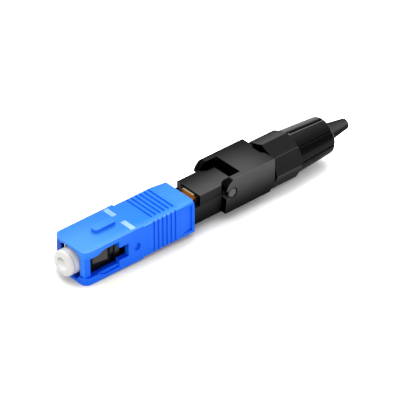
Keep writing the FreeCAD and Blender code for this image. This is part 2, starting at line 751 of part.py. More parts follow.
def make_main_body():
    """Black body: spigot in the frame, splice channel, pivot cheeks and pins, cable deck and collet."""
    body = new_body("main_body")
    w, low = "(body_width/2)", "body_bottom"
    front = "(housing_length+housing_travel+seat_gap)"
    trough = box_loop(f"-{w}", w, f"-{low}", "body_wall_top")
    pad(body, "trough", outline(body, "trough_section", "YZ_Plane", [trough], front),
            f"guide_wall_front-{front}")
    sw, sh = "(frame_width/2-frame_wall-seat_gap)", "(frame_height/2-frame_wall-seat_gap)"
    spigot = box_loop(f"-{sw}", sw, f"-{sh}", sh)
    pad(body, "spigot", outline(body, "spigot_section", "YZ_Plane", [spigot], "spigot_front"),
            f"{front}-spigot_front+body_floor")
    catch = [("latch_window_front+seat_gap", sh), ("latch_window_front+latch_window_length-seat_gap", sh),
             ("latch_window_front+latch_window_length-seat_gap", f"{sh}+catch_rise"),
             ("latch_window_front+2*seat_gap", f"{sh}+seat_gap")]
    under = [(x, f"-({z})") for x, z in reversed(catch)]
    for name, loop in (("top", catch), ("under", under)):
        pad(body, f"catch_{name}", outline(body, f"catch_{name}_side", "XZ_Plane", [loop]),
            "latch_window_width-2*slide_gap", symmetric=True)
    deck = box_loop(f"-{w}", w, f"-{low}", "deck_top")
    pad(body, "deck", outline(body, "deck_section", "YZ_Plane", [deck], "guide_wall_front"),
        "bulkhead_rear-guide_wall_front")
    wall = box_loop(f"-{w}", w, "0", "bulkhead_top")
    pad(body, "bulkhead", outline(body, "bulkhead_section", "YZ_Plane", [wall], "bulkhead_front"),
        "bulkhead_rear-bulkhead_front")
    cheek = box_loop("cheek_front", "cheek_rear", "-body_wall_top", "cheek_top")
    cheeks = outline(body, "cheek_side", "XZ_Plane", [cheek])
    pad(body, "cheeks", cheeks, "body_width", symmetric=True)
    pins = disc(body, "pin_circle", "XZ_Plane", "pivot_station", "pivot_height", "pin_radius")
    pin = pad(body, "pins", pins, "body_width+2*pin_reach", symmetric=True)
    reach = value_of("body_width/2+pin_reach")
    dress(body, "pin_ends", "Chamfer", pin, lambda e: near(abs(e.CenterOfMass.y), reach), "pin_chamfer")
    tail = [("bulkhead_front+slide_gap", "0"), ("thread_rear", "0"), ("thread_rear",
            "thread_radius-2*thread_depth"),
            ("thread_rear-2*thread_depth", "thread_radius"), ("bulkhead_front+slide_gap",
                "thread_radius")]
    revolve(body, "tail", outline(body, "tail_profile", "XZ_Plane", [tail]))
    clear = box_loop("bulkhead_front-slide_gap", "nut_front+slide_gap", "bulkhead_top", "housing_height")
    pocket(body, "tail_flat", outline(body, "tail_flat_side", "XZ_Plane", [clear]),
            "2*housing_width", symmetric=True)

    between = box_loop("cheek_front-slide_gap", "cheek_rear+slide_gap", f"-{w}+cheek_wall",
            f"{w}-cheek_wall")
    pocket(body, "cheek_gap", outline(body, "cheek_gap_plan", "XY_Plane", [between], "deck_top"),
           "housing_height", backward=True)
    iw, ih = f"({sw}-spigot_wall)", f"({sh}-spigot_wall)"
    hollow = box_loop(f"-{iw}", iw, f"-{ih}", ih)
    pocket(body, "spigot_hollow", outline(body, "spigot_hollow_section", "YZ_Plane", [hollow],
            "spigot_front"),
           f"{front}-spigot_front+body_floor", backward=True)
    channel = box_loop("-body_channel_width/2", "body_channel_width/2", f"-{low}+body_floor",
            "housing_height")
    pocket(body, "channel", outline(body, "channel_section", "YZ_Plane", [channel],
            f"{front}+body_floor"),
           f"guide_wall_front-{front}-body_floor", backward=True)
    open_top = box_loop(f"-{iw}", iw, "0", "housing_height")
    pocket(body, "front_gap", outline(body, "front_gap_section", "YZ_Plane", [open_top], f"{front}"),
           "body_floor", backward=True)
    seat = disc(body, "guide_circle", "YZ_Plane", "0", "0", "guide_radius", "guide_wall_front")
    pocket(body, "guide_seat", seat, "cheek_rear-guide_wall_front", backward=True)
    groove = disc(body, "cable_circle", "YZ_Plane", "0", "0", "cable_groove_radius", "cheek_rear")
    pocket(body, "cable_groove", groove, "thread_rear-cheek_rear", backward=True)
    slit = box_loop("thread_rear-collet_slit_length", "thread_rear+thread_depth", "-collet_slit/2",
            "collet_slit/2")
    for name, plane in (("upright", "XY_Plane"), ("level", "XZ_Plane")):
        pocket(body, f"slit_{name}", outline(body, f"slit_{name}_side", plane, [slit]),
                "housing_width", symmetric=True)
    return body


def make_fibre_guide():
    """Funnel behind the splice that leads the field fibre into it."""
    body = new_body("fibre_guide")
    rear = "(guide_front+guide_length-seat_gap)"
    profile = [("guide_front", "guide_bore_radius"), (f"{rear}-1", "guide_bore_radius"), (rear,
            "guide_mouth_radius"),
               (rear, "guide_radius"), ("guide_front", "guide_radius")]
    revolve(body, "turned", outline(body, "profile", "XZ_Plane", [profile]))
    return body


def make_lock_slider():
    """Black cover over the splice that slides towards the grip to close it, with a tongue at the rear."""
    body = new_body("lock_slider")
    w, tongue = "(body_width/2)", "(lock_tongue_width/2)"
    shoulder = "lock_side_rear+lock_shoulder_run"
    plan = [
        ("lock_front", f"-{w}"), ("lock_side_rear", f"-{w}", "-lock_shoulder_radius"), (shoulder,
            f"-{tongue}"),
        ("lock_rear", f"-{tongue}"), ("lock_rear", tongue), (shoulder, tongue, "-lock_shoulder_radius"),
        ("lock_side_rear", w), ("lock_front", w),
    ]
    base = "body_wall_top+seat_gap"
    block = pad(body, "block", outline(body, "plan", "XY_Plane", [plan], base), f"lock_top-({base})")
    top = value_of("lock_top")
    dress(body, "rim", "Fillet", block, lambda e: near(e.CenterOfMass.z, top), "lock_edge_round")
    under = box_loop("lock_side_rear", "lock_rear+lock_roof", "0", "cheek_top+slide_gap")
    pocket(body, "tongue_relief", outline(body, "tongue_side", "XZ_Plane", [under]), "2*body_width",
            symmetric=True)
    hollow = box_loop(f"-{w}+lock_wall", f"{w}-lock_wall", "0", "lock_top-lock_roof")
    pocket(body, "hollow", outline(body, "hollow_section", "YZ_Plane", [hollow], "lock_front"),
           "lock_side_rear-lock_front", backward=True)
    return body


def make_clamp_lever():
    """Black flip lever over the cable: two ears on the pins, side walls, web and toothed pad."""
    body = new_body("clamp_lever")
    half, inner = "(lever_width/2)", "(body_width/2+seat_gap)"
    mouth = "(lever_socket_mouth/2)"
    side = [
        ("lever_foot_front", "-lever_bottom"), ("lever_rear-lever_heel_run", "-lever_bottom"),
        ("lever_rear", "-lever_bottom+lever_heel_rise"), ("lever_rear", "lever_top"),
        ("lever_ear_top_front", "lever_top", "lever_ear_radius"),
        ("lever_ear_front", f"pivot_height+{mouth}"), ("pivot_station", f"pivot_height+{mouth}"),
        ("pivot_station", f"pivot_height-{mouth}"), ("lever_ear_front", f"pivot_height-{mouth}"),
    ]
    block = pad(body, "block", outline(body, "side", "XZ_Plane", [side]), "lever_width", symmetric=True)
    top, edge = value_of("lever_top"), value_of("lever_width/2")
    dress(body, "bevel", "Chamfer", block,
          lambda e: near(e.CenterOfMass.z, top) and near(abs(e.CenterOfMass.y), edge), "lever_edge_bevel")
    between = [("-lever_rear", "-housing_height"), ("2*lever_rear", "-housing_height"),
               ("2*lever_rear", "lever_top-lever_web"), ("lever_web_front", "lever_top-lever_web"),
               ("lever_web_front", "housing_height"), ("-lever_rear", "housing_height")]
    pocket(body, "inside", outline(body, "inside_side", "XZ_Plane", [between]), f"2*{inner}",
            symmetric=True)
    sockets = disc(body, "socket_circle", "XZ_Plane", "pivot_station", "pivot_height",
            "pin_radius+pivot_gap")
    pocket(body, "sockets", sockets, "2*lever_width", symmetric=True)
    notch = [("lever_rear-lever_notch_depth", "-lever_notch_width/2+lever_notch_depth"),
             ("lever_rear", "-lever_notch_width/2"), ("nut_front", "-lever_notch_width/2"),
             ("nut_front", "lever_notch_width/2"), ("lever_rear", "lever_notch_width/2"),
             ("lever_rear-lever_notch_depth", "lever_notch_width/2-lever_notch_depth")]
    pocket(body, "notch", outline(body, "notch_plan", "XY_Plane", [notch]), "housing_height",
            backward=True)
    pad_plan = box_loop("pad_front", "pad_front+pad_length", "-pad_width/2", "pad_width/2")
    pad(body, "pad", outline(body, "pad_plan", "XY_Plane", [pad_plan], "pad_bottom"),
        "lever_top-lever_web/2-pad_bottom")
    step = "(pad_length/tooth_count)"
    tooth = [("pad_front-slide_gap", "pad_bottom-tooth_height"), (f"pad_front+{step}*0.55",
            "pad_bottom-tooth_height"),
             (f"pad_front+{step}*0.05", "pad_bottom+tooth_height")]
    gap = pocket(body, "tooth_gap", outline(body, "tooth_side", "XZ_Plane", [tooth]), "pad_width*2",
            symmetric=True)
    along_x(body, "teeth", gap, step, "tooth_count")
    return body


def make_screw_nut():
    """Black clamping nut: eight flats in front, then a round taper with eight flutes."""
    body = new_body("screw_nut")
    corner = f"(nut_flats/2/cos(180/{NUT_SIDES}))"
    turn = [f"(90+nut_turned+{360 / NUT_SIDES}*{i})" for i in range(NUT_SIDES)]
    flats = [(f"{corner}*cos({a})", f"{corner}*sin({a})") for a in turn]
    pad(body, "flats", outline(body, "flats_section", "YZ_Plane", [flats], "nut_front"),
            "hex_rear-nut_front")
    blend = [
        ("nut_front-1", f"{corner}-nut_front_chamfer"), ("nut_front", f"{corner}-nut_front_chamfer"),
        ("nut_front+nut_front_chamfer", f"{corner}"), ("hex_rear-nut_rear_chamfer", f"{corner}"),
        ("hex_rear", "nut_cone_front_radius"), ("hex_rear+1", "nut_cone_front_radius"),
        ("hex_rear+1", "nut_flats"), ("nut_front-1", "nut_flats"),
    ]
    revolve(body, "blend", outline(body, "blend_profile", "XZ_Plane", [blend]), "Groove")
    r0, r1, e = "nut_cone_front_radius", "nut_cone_rear_radius", "nut_rear_round"
    cone = [("hex_rear-1", "0"), ("nut_rear", "0"), ("nut_rear", f"{r1}-{e}", f"{e}"),
            (f"nut_rear-{e}", r1),
            ("hex_rear", r0), ("hex_rear-1", r0)]
    revolve(body, "cone", outline(body, "cone_profile", "XZ_Plane", [cone]))

    def flute(label, radius, place):
        """A triangle across the wall on a corner of the flats, point inwards."""
        angle = "(90+nut_turned)"
        point, rim, half = f"({radius}-flute_depth)", f"({radius}+flute_depth)", "flute_width"
        corners = [(point, "0"), (rim, f"-{half}"), (rim, half)]
        loop = [(f"({x})*cos({angle})-({y})*sin({angle})", f"({x})*sin({angle})+({y})*cos({angle})")
                for x, y in corners]
        return outline(body, label, "YZ_Plane", [loop], place)

    flute_cut = loft(body, "flute", [flute("flute_front", r0, "hex_rear+flute_setback"),
                                     flute("flute_rear", r1, "nut_rear+seat_gap")], "SubtractiveLoft")
    polar(body, "flutes", flute_cut, NUT_SIDES)

    chamber = "boot_chamber_radius"
    bore = [
        ("nut_front-1", "0"), ("nut_rear+1", "0"), ("nut_rear+1", "boot_stem_radius+turn_gap"),
        ("nut_rear-nut_rear_wall", "boot_stem_radius+turn_gap"), ("nut_rear-nut_rear_wall", chamber),
        ("boot_chamber_front+thread_gap", chamber), ("boot_chamber_front", "thread_radius+thread_gap"),
        ("nut_front-1", "thread_radius+thread_gap"),
    ]
    revolve(body, "bore", outline(body, "bore_profile", "XZ_Plane", [bore]), "Groove")
    return body


def make_strain_boot():
    """Small tapered boot that sits in the nut's rear wall and guides the cable out."""
    body = new_body("strain_boot")
    seat = "(nut_rear-nut_rear_wall-seat_gap)"
    tip = "(nut_rear+boot_length)"
    profile = [
        (f"{seat}-boot_flange_length", "cable_bore_radius"), (tip, "cable_bore_radius"),
        (tip, "boot_tip_radius-boot_tip_round", "boot_tip_round"), (f"{tip}-boot_tip_round",
            "boot_tip_radius"),
        ("nut_rear", "boot_stem_radius"), (seat, "boot_stem_radius"), (seat, "boot_flange_radius"),
        (f"{seat}-boot_flange_length", "boot_flange_radius"),
    ]
    revolve(body, "moulded", outline(body, "profile", "XZ_Plane", [profile]))
    return body


def make_dust_cap():
    """White cap that is pushed over the ferrule: a flange in the mouth, dimpled in front, and a stem."""
    body = new_body("dust_cap")
    face, flange_rear = "(-cap_front)", "(mouth_depth-cap_flange_setback)"
    flange, stem = "(mouth_width/2-slide_gap)", "min(frame_height/2; sleeve_bore_radius-cap_stem_gap)"
    profile = [
        (f"{face}+cap_dimple_depth", "0"), ("-ferrule_chamfer-slide_gap", "0"),
        ("-ferrule_chamfer-slide_gap", "ferrule_radius+cap_fit_gap"),
        (f"{face}+cap_length", "ferrule_radius+cap_fit_gap"), (f"{face}+cap_length", stem),
        (flange_rear, stem), (flange_rear, flange),
        (f"{face}+cap_edge_round", flange, "cap_edge_round"), (face, f"{flange}-cap_edge_round"),
        (face, "cap_dimple_radius", "-(cap_dimple_radius^2+cap_dimple_depth^2)/(2*cap_dimple_depth)"),
    ]
    revolve(body, "moulded", outline(body, "profile", "XZ_Plane", [profile]))
    return body


def check_and_write(parts):
    """Stop on any failed object or bad shape, then write one STEP file for each piece."""
    doc.recompute()
    failed = [o.Name for o in doc.Objects if "Invalid" in o.State or "Error" in o.State]
    if failed:
        raise RuntimeError(f"failed objects: {failed}")
    os.makedirs("parts", exist_ok=True)
    for part in parts:
        shape = part.Shape
        if shape.isNull() or not shape.isValid() or not shape.Solids:
            raise RuntimeError(f"{part.Label} has no valid solid")
        shape.exportStep(f"parts/{part.Label}.step")
        box = shape.BoundBox
        print(f"{part.Label:16s} solids {len(shape.Solids)} volume {shape.Volume:9.2f} mm3 "
              f"X {box.XMin:6.2f} {box.XMax:6.2f}  Y {box.YMin:5.2f} {box.YMax:5.2f}  "
              f"Z {box.ZMin:5.2f} {box.ZMax:5.2f}")


check_and_write([
    make_outer_housing(),
    make_index_mark("index_mark_near", "-mark_outer_reach", "-mark_inner_gap_near"),
    make_index_mark("index_mark_far", "mark_inner_gap_far", "mark_outer_reach"),
    make_plug_frame(),
    make_ferrule(),
    make_ferrule_holder(),
    make_ferrule_spring(),
    make_spring_stop(),
    make_fibre_stub(),
    make_splice_base(),
    make_splice_lid(),
    make_splice_clip(),
    make_main_body(),
    make_fibre_guide(),
    make_lock_slider(),
    make_clamp_lever(),
    make_screw_nut(),
    make_strain_boot(),
    make_dust_cap(),
])
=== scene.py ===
import json
import math

import bpy
from mathutils import Matrix, Vector


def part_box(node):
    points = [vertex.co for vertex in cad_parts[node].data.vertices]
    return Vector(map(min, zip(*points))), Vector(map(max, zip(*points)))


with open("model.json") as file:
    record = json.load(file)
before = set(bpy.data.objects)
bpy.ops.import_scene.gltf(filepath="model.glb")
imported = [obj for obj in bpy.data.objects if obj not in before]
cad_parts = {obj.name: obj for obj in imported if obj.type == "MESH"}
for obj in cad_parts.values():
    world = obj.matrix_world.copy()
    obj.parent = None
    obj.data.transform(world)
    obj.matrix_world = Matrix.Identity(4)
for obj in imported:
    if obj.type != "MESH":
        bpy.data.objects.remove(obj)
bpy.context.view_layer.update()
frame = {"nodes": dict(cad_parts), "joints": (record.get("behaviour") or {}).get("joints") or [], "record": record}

MM = 0.001
PIN = next(joint["pos_m"] for joint in frame["joints"] if joint["name"] == "lever_swing")


# Small helpers


def linear(hex_colour):
    """A hex sRGB colour as the linear colour that a shader takes."""
    shades = [int(hex_colour[i:i + 2], 16) / 255 for i in (1, 3, 5)]
    return [s / 12.92 if s <= 0.04045 else ((s + 0.055) / 1.055) ** 2.4 for s in shades] + [1.0]


def per_mm(size):
    """The scale at which a pattern on coordinates in metres repeats about every size millimetres."""
    return 1 / (size * MM)


def add_node(tree, kind, settings=None, links=None):
    """Adds one node, gives it its settings and joins its inputs to what feeds them."""
    node = tree.nodes.new(kind)
    for name, value in (settings or {}).items():
        if isinstance(name, str) and hasattr(node, name):
            setattr(node, name, value)
        else:
            node.inputs[name].default_value = value
    for name, source in (links or {}).items():
        tree.links.new(source, node.inputs[name])
    return node


def feed(tree, socket, value):
    """Gives an input a number or a colour, or joins it to a socket."""
    if isinstance(value, bpy.types.NodeSocket):
        tree.links.new(value, socket)
    else:
        socket.default_value = value


def math_node(tree, operation, *values):
    """One sum on sockets or numbers, as a socket."""
    node = add_node(tree, "ShaderNodeMath", {"operation": operation})
    for index, value in enumerate(values):
        feed(tree, node.inputs[index], value)
    return node.outputs["Value"]


def blend(tree, share, low, high):
    """The colour that lies between low and high by that share, as a socket."""
    low_input, high_input, colour_output = 6, 7, 2
    node = add_node(tree, "ShaderNodeMix", {"data_type": "RGBA"})
    feed(tree, node.inputs[0], share)
    feed(tree, node.inputs[low_input], low)
    feed(tree, node.inputs[high_input], high)
    return node.outputs[colour_output]


def rise(tree, value, start, end, low=0.0, high=1.0):
    """A smooth change from low to high while the value goes from start to end."""
    smooth = add_node(
        tree, "ShaderNodeMapRange",
        {
            "interpolation_type": "SMOOTHSTEP",
            "From Min": start, "From Max": end,
            "To Min": low, "To Max": high,
        },
        {"Value": value},
    )
    return smooth.outputs["Result"]


def new_material(name, settings):
    """A node material with those shader settings, and with Object coordinates to start from."""
    material = bpy.data.materials.new(name)
    material.use_nodes = True
    tree = material.node_tree
    tree.nodes.clear()
    shader = add_node(tree, "ShaderNodeBsdfPrincipled", settings)
    add_node(tree, "ShaderNodeOutputMaterial", links={"Surface": shader.outputs["BSDF"]})
    place = add_node(tree, "ShaderNodeTexCoord").outputs["Object"]
    return material, tree, shader, place


# An edge begins to take its paler tone, of wear and painted highlight, and takes it fully, at these cosines
# between its eased and its flat normal
WORN_AND_HIGHLIT_FROM, WORN_AND_HIGHLIT_FULLY = 0.995, 0.8
PATCH_DETAIL, GRAIN_DETAIL = 4.0, 3.0
GRAIN_STRENGTH = 0.6
EASING_SAMPLES = 4


def worn_and_highlit_surface(tree, shader, place, colours, *, patch, grain, rough, bump, edge, scuff_and_highlight=0.0):
    """Colour and roughness that drift in patches, a fine grain, and edges eased by the mould.

    colours are the low and high tones and, where edges take a paler tone, that tone, which is partly wear and
    partly a painted highlight.
    patch and grain are sizes in millimetres, rough is the lowest and highest roughness, bump is the grain's depth
    in millimetres, edge is the radius of the eased edges and the last argument is how much of their paler tone
    they take.
    """
    drift = add_node(
        tree, "ShaderNodeTexNoise", {"Scale": per_mm(patch), "Detail": PATCH_DETAIL}, {"Vector": place}
    ).outputs["Fac"]
    fine = add_node(
        tree, "ShaderNodeTexNoise", {"Scale": per_mm(grain), "Detail": GRAIN_DETAIL}, {"Vector": place}
    ).outputs["Fac"]
    surface = blend(tree, drift, linear(colours[0]), linear(colours[1]))
    eased = add_node(
        tree, "ShaderNodeBevel", {"samples": EASING_SAMPLES, "Radius": edge * MM}
    ).outputs["Normal"]
    # Paler edges: partly wear, partly a painted highlight
    if scuff_and_highlight:
        flat = add_node(tree, "ShaderNodeNewGeometry").outputs["True Normal"]
        turn = add_node(
            tree, "ShaderNodeVectorMath", {"operation": "DOT_PRODUCT"}, {0: eased, 1: flat}
        ).outputs["Value"]
        worn_and_highlit = add_node(
            tree, "ShaderNodeMapRange",
            {"From Min": WORN_AND_HIGHLIT_FROM, "From Max": WORN_AND_HIGHLIT_FULLY, "To Min": 0.0, "To Max": scuff_and_highlight},
            {"Value": turn},
        ).outputs["Result"]
        surface = blend(tree, worn_and_highlit, surface, linear(colours[2]))
    tree.links.new(surface, shader.inputs["Base Color"])
    polish = add_node(
        tree, "ShaderNodeMapRange", {"To Min": rough[0], "To Max": rough[1]}, {"Value": drift}
    )
    tree.links.new(polish.outputs["Result"], shader.inputs["Roughness"])
    relief = add_node(
        tree, "ShaderNodeBump", {"Strength": GRAIN_STRENGTH, "Distance": bump * MM},
        {"Height": fine, "Normal": eased},
    )
    tree.links.new(relief.outputs["Normal"], shader.inputs["Normal"])


# Tones of the faces: painted light and shade, paler where light falls and deeper where shade falls


def measure(tree, place, kind, axis):
    """What a rise reads, as paint lists it. An axis in bars, such as |Y|, is read without its sign."""
    if kind == "facing":
        place = add_node(tree, "ShaderNodeTexCoord").outputs["Normal"]
    part = add_node(tree, "ShaderNodeSeparateXYZ", links={"Vector": place}).outputs
    if kind == "around":
        near = math_node(tree, "MULTIPLY", part["Y"], -1.0)
        return math_node(tree, "DEGREES", math_node(tree, "ARCTAN2", near, part["Z"]))
    if kind == "pin":
        across = math_node(tree, "POWER", math_node(tree, "SUBTRACT", part["X"], PIN[0]), 2.0)
        above = math_node(tree, "POWER", math_node(tree, "SUBTRACT", part["Z"], PIN[2]), 2.0)
        distance = math_node(tree, "SQRT", math_node(tree, "ADD", across, above))
        return math_node(tree, "DIVIDE", distance, MM)
    value = part[axis.strip("|")]
    if axis.startswith("|"):
        value = math_node(tree, "ABSOLUTE", value)
    return value if kind == "facing" else math_node(tree, "DIVIDE", value, MM)


def paint(tree, shader, place, layers):
    """Lays tones over the base colour, each as strong as all its rises allow.

    A layer is a colour of painted light and shade, a strength and its rises. A rise is what it reads, the axis,
    and where it begins
    and is complete: "at" in millimetres, "facing" as a part of the piece's own unit normal, "around" in
    degrees from the top towards the near side, and "pin" in millimetres from the lever's pivot.
    """
    for colour, strength, rises in layers:
        share = add_node(tree, "ShaderNodeValue").outputs[0]
        share.default_value = strength
        for kind, axis, start, end in rises:
            reading = measure(tree, place, kind, axis)
            share = math_node(tree, "MULTIPLY", share, rise(tree, reading, start, end))
        below = shader.inputs["Base Color"].links[0].from_socket
        tree.links.new(blend(tree, share, below, linear(colour)), shader.inputs["Base Color"])


# Rises that several pieces share
UP = ("facing", "Z", 0.35, 0.9)
STEEP = ("facing", "Z", 0.7, 0.3)
SIDEWAYS = ("facing", "|Y|", 0.5, 0.9)
FORWARD = ("facing", "X", -0.5, -0.9)


# Finishes


def moulded_blue():
    """Housing plastic: injection-moulded PBT, satin and strongly coloured right through.

    Faces that look up are painted a clear azure and the steep ones a deeper blue, as painted light and shade,
    and the nose is painted a little paler than the grip, as painted light.
    """
    material, tree, shader, place = new_material("moulded_blue_pbt", {
        "IOR": 1.5,
        "Specular IOR Level": 0.14,
    })
    worn_and_highlit_surface(
        tree, shader, place, ("#0d6cff", "#1874ff", "#6fb2ff"),
        patch=6.0, grain=0.3, rough=(0.3, 0.38), bump=0.004, edge=0.12, scuff_and_highlight=0.06,
    )
    outside = ("at", "Z", 2.9, 3.3)
    rounded = [("facing", "Z", 0.25, 0.4), ("facing", "Z", 0.98, 0.9), ("at", "Z", 3.3, 3.5)]
    crease = [
        ("at", "Y", 0.15, 0.24), ("at", "Y", 0.38, 0.29),
        ("at", "X", 23.2, 23.5), ("at", "X", 25.9, 25.6),
    ]
    dimple = [("at", "|Y|", 4.48, 4.4), ("at", "X", 12.5, 13.2), ("at", "X", 14, 13.9)]
    paint(tree, shader, place, [
        # Painted light on the top: paler to the nose, behind the ribs and to the near side, deeper to the far side
        ("#1a7be6", 1.0, [UP, outside]),
        ("#4492e8", 1.0, [UP, outside, ("at", "X", 16, 1)]),
        ("#3689ec", 0.9, [UP, outside, ("at", "X", 22.6, 24)]),
        ("#569fec", 0.5, [UP, outside, ("at", "Y", -2.6, -4.6)]),
        ("#2073e2", 0.6, [UP, outside, ("at", "Y", -0.5, 4.6)]),
        # Painted light on the steep faces towards the nose and on the upper half of the face round the mouth
        ("#2f8dff", 0.8, [STEEP, ("at", "Z", 1.2, 3.6), ("at", "X", 15, 2)]),
        ("#3a92ff", 0.7, [FORWARD, ("at", "X", 1.6, 1.4), ("at", "Z", -2.4, -0.6)]),
        # Painted shade, a deep blue, on faces that look up from inside and on all that lies behind the mouth's lip
        ("#003ce6", 0.9, [UP, ("at", "Z", 3.0, 2.8)]),
        ("#0636b4", 0.8, [("at", "|Y|", 3.7, 3.4), ("at", "Z", 3.2, 3.0), ("at", "X", 0.72, 0.8)]),
        # Painted highlights on the rounded edges along the sides, at the front and at the rear
        ("#9accff", 0.4, [*rounded, ("facing", "|Y|", 0.1, 0.25), ("at", "X", 23, 21)]),
        ("#9accff", 0.4, [*rounded, ("at", "X", 1.4, 0.9)]),
        ("#4fa6ff", 0.8, [*rounded, ("at", "X", 21, 23)]),
        # Painted shade in the fine crease behind the ribs, on the inside of the far wall and in the dimple in each
        # side
        ("#1a5fd0", 0.6, [UP, outside, *crease]),
        ("#0636b4", 0.8, [("at", "Y", 2.4, 2.6), ("at", "Y", 3.95, 3.85), ("at", "|Z|", 3.1, 3.0)]),
        ("#0048d0", 0.85, [SIDEWAYS, *dimple]),
    ])
    return material


def printed_mark():
    """Index marks: pale filled bars, matt against the blue, painted palest on the near side as painted light."""
    material, tree, shader, place = new_material("pale_index_paint", {})
    worn_and_highlit_surface(
        tree, shader, place, ("#7fb0cc", "#89b8d4"),
        patch=0.8, grain=0.2, rough=(0.5, 0.62), bump=0.003, edge=0.08,
    )
    # Painted light: the marks are paler towards the near side
    paint(tree, shader, place, [("#9cc8da", 1.0, [("at", "Y", 0.5, -3.5)])])
    return material


def moulded_dark(name, colours, rough, layers):
    """Black engineering plastic: moulded, with a soft sheen, slightly paler worn edges that also carry a painted
    highlight, and painted light and shade in its tones.
    """
    material, tree, shader, place = new_material(name, {"IOR": 1.5, "Specular IOR Level": 0.045})
    worn_and_highlit_surface(
        tree, shader, place, colours,
        patch=5.0, grain=0.3, rough=rough, bump=0.004, edge=0.12, scuff_and_highlight=0.4,
    )
    paint(tree, shader, place, layers)
    return material


def soft_rubber():
    """Boot: moulded thermoplastic rubber, matt, with hardly any gloss."""
    material, tree, shader, place = new_material("black_boot_rubber", {
        "IOR": 1.45,
        "Specular IOR Level": 0.12,
    })
    worn_and_highlit_surface(
        tree, shader, place, ("#3a3a3b", "#434344", "#555557"),
        patch=3.0, grain=0.22, rough=(0.62, 0.75), bump=0.008, edge=0.15, scuff_and_highlight=0.2,
    )
    paint(tree, shader, place, [
        # Painted light and shade: darker over the top, a painted highlight streak on the near side and black
        # painted shade below
        ("#1d1d1e", 0.95, [("around", "", 42, -5)]),
        ("#4c4c4d", 0.7, [("around", "", 35, 50), ("around", "", 66, 54)]),
        ("#040404", 1.0, [("around", "", 60, 82)]),
    ])
    return material


def cap_plastic():
    """Dust cap: thin soft polyethylene, white and slightly milky, so light spreads inside it."""
    material, tree, shader, place = new_material("white_cap_polyethylene", {
        "IOR": 1.51,
        "Subsurface Weight": 0.15,
        "Subsurface Radius": (1.0, 0.9, 0.8),
        "Subsurface Scale": 0.3 * MM,
    })
    worn_and_highlit_surface(
        tree, shader, place, ("#dddbd5", "#e8e6e1", "#ffffff"),
        patch=2.5, grain=0.3, rough=(0.3, 0.4), bump=0.004, edge=0.12, scuff_and_highlight=0.6,
    )
    dish = [("at", "X", -1.2, -1.3), ("at", "|Y|", 1.8, 1.4), ("at", "|Z|", 1.8, 1.4)]
    ring = [("facing", "X", -0.6, -0.2), ("at", "X", -1.1, -0.95), ("at", "X", -0.6, -0.75)]
    paint(tree, shader, place, [
        # Painted shade and light in the dish in the cap's face: grey where it looks down, white where it looks up
        ("#98979a", 0.85, [*dish, ("facing", "Z", 0.05, -0.4)]),
        ("#ffffff", 0.9, [*dish, ("facing", "Z", 0.1, 0.45)]),
        # Painted shade in the faint ring round the face
        ("#b9b7b2", 0.7, ring),
    ])
    return material


def zirconia():
    """Ferrule: ground and polished zirconia ceramic, bright white and very smooth."""
    material, tree, shader, place = new_material("white_zirconia", {"IOR": 2.1})
    worn_and_highlit_surface(
        tree, shader, place, ("#efece4", "#f8f6f0"),
        patch=2.0, grain=0.15, rough=(0.12, 0.2), bump=0.001, edge=0.05,
    )
    return material


def metal(name, colours, rough, stretch):
    """Turned or drawn metal, with fine lines along the way it was made."""
    material, tree, shader, place = new_material(name, {"Metallic": 1.0})
    lines = add_node(tree, "ShaderNodeMapping", {"Scale": stretch}, {"Vector": place})
    worn_and_highlit_surface(
        tree, shader, lines.outputs["Vector"], colours,
        patch=1.5, grain=0.12, rough=rough, bump=0.002, edge=0.05,
    )
    return material


def amber_plastic():
    """Splice: moulded polyetherimide, a clear deep amber, with a painted highlight where it faces up and along its
    edges.
    """
    material, tree, shader, place = new_material("amber_polyetherimide", {
        "IOR": 1.66,
        "Subsurface Weight": 0.3,
        "Subsurface Radius": (1.0, 0.5, 0.15),
        "Subsurface Scale": 0.5 * MM,
    })
    worn_and_highlit_surface(
        tree, shader, place, ("#e89a2c", "#f5b14c", "#fbe6c4"),
        patch=1.5, grain=0.2, rough=(0.2, 0.3), bump=0.002, edge=0.1, scuff_and_highlight=0.7,
    )
    paint(tree, shader, place, [
        # A painted highlight on the raised rear's top, painted shade on its front, and black painted shade on its
        # near side against the black body
        ("#fff1d0", 1.0, [UP, ("at", "Z", 1.8, 2.1)]),
        ("#a8661a", 0.8, [("facing", "X", -0.4, -0.8), ("at", "Z", 2.35, 1.7)]),
        ("#060402", 1.0, [("facing", "Y", -0.4, -0.8)]),
    ])
    return material


def fibre_glass():
    """Fibre: a drawn silica glass thread, clear."""
    material, tree, shader, place = new_material("silica_fibre", {"IOR": 1.46, "Transmission Weight": 1.0})
    worn_and_highlit_surface(
        tree, shader, place, ("#f2fbff", "#ffffff"),
        patch=2.0, grain=0.1, rough=(0.02, 0.05), bump=0.0005, edge=0.02,
    )
    return material


